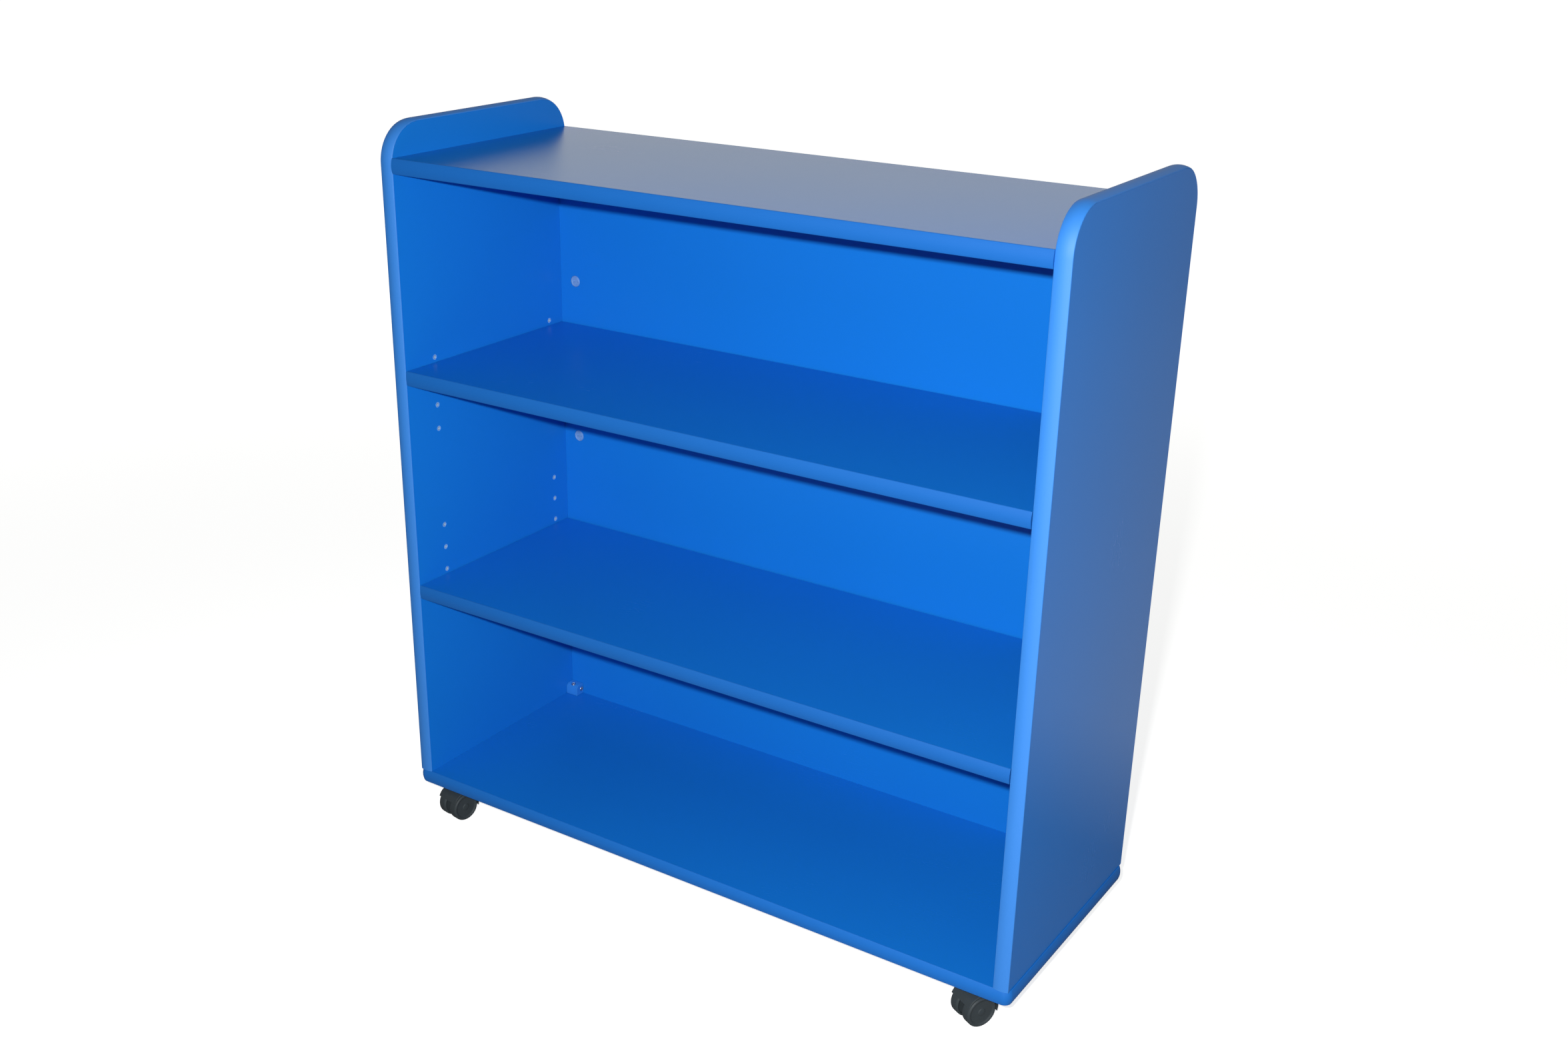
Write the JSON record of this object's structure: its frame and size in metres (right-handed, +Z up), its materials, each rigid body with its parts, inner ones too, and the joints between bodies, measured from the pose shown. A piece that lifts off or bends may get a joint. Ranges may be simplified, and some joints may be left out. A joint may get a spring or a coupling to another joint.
{
  "type": "mobile bookcase",
  "caption": "Open-fronted bookcase on castors: rounded-top sides on a wide base, top board, full back panel, loose shelves on pegged supports, crowned barbed edging.",
  "frame": {"origin": "on the floor, under the middle of the case", "axes": "+X to the right as seen from the open front, +Y from the front to the back panel, +Z up"},
  "size_m": [0.906, 0.334, 0.959],
  "materials": {
    "faced_board": "satin blue melamine facing on chipboard",
    "edging": "satin blue moulded edging, crowned",
    "zinc_fitting": "zinc die-cast and pressed steel, dull",
    "steel_pin": "turned steel",
    "corner_block": "pale blue moulded plastic",
    "castor_nylon": "black moulded nylon"
  },
  "bodies": {
    "case": {"side_left": "faced_board", "side_right": "faced_board", "base": "faced_board", "back_panel": "faced_board", "top_board": "faced_board", "side_left_edging": "edging", "side_right_edging": "edging", "base_edging": "edging", "top_board_edging": "edging", "back_left_lower_cam": "zinc_fitting", "back_left_upper_cam": "zinc_fitting", "back_right_lower_cam": "zinc_fitting", "back_right_upper_cam": "zinc_fitting", "top_left_front_cam": "zinc_fitting", "top_left_rear_cam": "zinc_fitting", "top_right_front_cam": "zinc_fitting", "top_right_rear_cam": "zinc_fitting", "back_left_lower_bolt": "steel_pin", "back_left_upper_bolt": "steel_pin", "back_right_lower_bolt": "steel_pin", "back_right_upper_bolt": "steel_pin", "top_left_front_bolt": "steel_pin", "top_left_rear_bolt": "steel_pin", "top_right_front_bolt": "steel_pin", "top_right_rear_bolt": "steel_pin", "support_lower_left_front": "zinc_fitting", "support_lower_left_rear": "zinc_fitting", "support_lower_right_front": "zinc_fitting", "support_lower_right_rear": "zinc_fitting", "support_upper_left_front": "zinc_fitting", "support_upper_left_rear": "zinc_fitting", "support_upper_right_front": "zinc_fitting", "support_upper_right_rear": "zinc_fitting", "corner_block_left": "corner_block", "corner_block_right": "corner_block", "castor_front_left_plate": "zinc_fitting", "castor_front_right_plate": "zinc_fitting", "castor_rear_left_plate": "zinc_fitting", "castor_rear_right_plate": "zinc_fitting"},
    "lower_shelf": {"shelf_lower": "faced_board", "shelf_lower_edging": "edging"},
    "upper_shelf": {"shelf_upper": "faced_board", "shelf_upper_edging": "edging"},
    "front_left_castor": {"castor_front_left_hood": "castor_nylon", "castor_front_left_axle": "steel_pin"},
    "front_left_castor_left_wheel": {"castor_front_left_wheel_left": "castor_nylon"},
    "front_left_castor_right_wheel": {"castor_front_left_wheel_right": "castor_nylon"},
    "front_right_castor": {"castor_front_right_hood": "castor_nylon", "castor_front_right_axle": "steel_pin"},
    "front_right_castor_left_wheel": {"castor_front_right_wheel_left": "castor_nylon"},
    "front_right_castor_right_wheel": {"castor_front_right_wheel_right": "castor_nylon"},
    "rear_left_castor": {"castor_rear_left_hood": "castor_nylon", "castor_rear_left_axle": "steel_pin"},
    "rear_left_castor_left_wheel": {"castor_rear_left_wheel_left": "castor_nylon"},
    "rear_left_castor_right_wheel": {"castor_rear_left_wheel_right": "castor_nylon"},
    "rear_right_castor": {"castor_rear_right_hood": "castor_nylon", "castor_rear_right_axle": "steel_pin"},
    "rear_right_castor_left_wheel": {"castor_rear_right_wheel_left": "castor_nylon"},
    "rear_right_castor_right_wheel": {"castor_rear_right_wheel_right": "castor_nylon"}
  },
  "joints": [
    {"name": "lower_shelf_slide", "type": "slide", "parent": "case", "child": "lower_shelf", "axis": [0, -1, 0], "range_m": [0, 0.34]},
    {"name": "upper_shelf_slide", "type": "slide", "parent": "case", "child": "upper_shelf", "axis": [0, -1, 0], "range_m": [0, 0.34]},
    {"name": "front_left_swivel", "type": "hinge", "parent": "case", "child": "front_left_castor", "pos_m": [-0.405, -0.122, 0.045], "axis": [0, 0, 1], "continuous": true},
    {"name": "front_left_left_wheel_spin", "type": "hinge", "parent": "front_left_castor", "child": "front_left_castor_left_wheel", "pos_m": [-0.40813, -0.13973, 0.02], "axis": [0.9848, -0.1736, 0], "continuous": true},
    {"name": "front_left_right_wheel_spin", "type": "hinge", "parent": "front_left_castor", "child": "front_left_castor_right_wheel", "pos_m": [-0.40813, -0.13973, 0.02], "axis": [0.9848, -0.1736, 0], "continuous": true},
    {"name": "front_right_swivel", "type": "hinge", "parent": "case", "child": "front_right_castor", "pos_m": [0.405, -0.122, 0.045], "axis": [0, 0, 1], "continuous": true},
    {"name": "front_right_left_wheel_spin", "type": "hinge", "parent": "front_right_castor", "child": "front_right_castor_left_wheel", "pos_m": [0.39655, -0.13789, 0.02], "axis": [0.8829, -0.4695, 0], "continuous": true},
    {"name": "front_right_right_wheel_spin", "type": "hinge", "parent": "front_right_castor", "child": "front_right_castor_right_wheel", "pos_m": [0.39655, -0.13789, 0.02], "axis": [0.8829, -0.4695, 0], "continuous": true},
    {"name": "rear_left_swivel", "type": "hinge", "parent": "case", "child": "rear_left_castor", "pos_m": [-0.405, 0.122, 0.045], "axis": [0, 0, 1], "continuous": true},
    {"name": "rear_left_left_wheel_spin", "type": "hinge", "parent": "rear_left_castor", "child": "rear_left_castor_left_wheel", "pos_m": [-0.40935, 0.10453, 0.02], "axis": [0.9703, -0.2419, 0], "continuous": true},
    {"name": "rear_left_right_wheel_spin", "type": "hinge", "parent": "rear_left_castor", "child": "rear_left_castor_right_wheel", "pos_m": [-0.40935, 0.10453, 0.02], "axis": [0.9703, -0.2419, 0], "continuous": true},
    {"name": "rear_right_swivel", "type": "hinge", "parent": "case", "child": "rear_right_castor", "pos_m": [0.405, 0.122, 0.045], "axis": [0, 0, 1], "continuous": true},
    {"name": "rear_right_left_wheel_spin", "type": "hinge", "parent": "rear_right_castor", "child": "rear_right_castor_left_wheel", "pos_m": [0.39884, 0.10509, 0.02], "axis": [0.9397, -0.342, 0], "continuous": true},
    {"name": "rear_right_right_wheel_spin", "type": "hinge", "parent": "rear_right_castor", "child": "rear_right_castor_right_wheel", "pos_m": [0.39884, 0.10509, 0.02], "axis": [0.9397, -0.342, 0], "continuous": true}
  ]
}
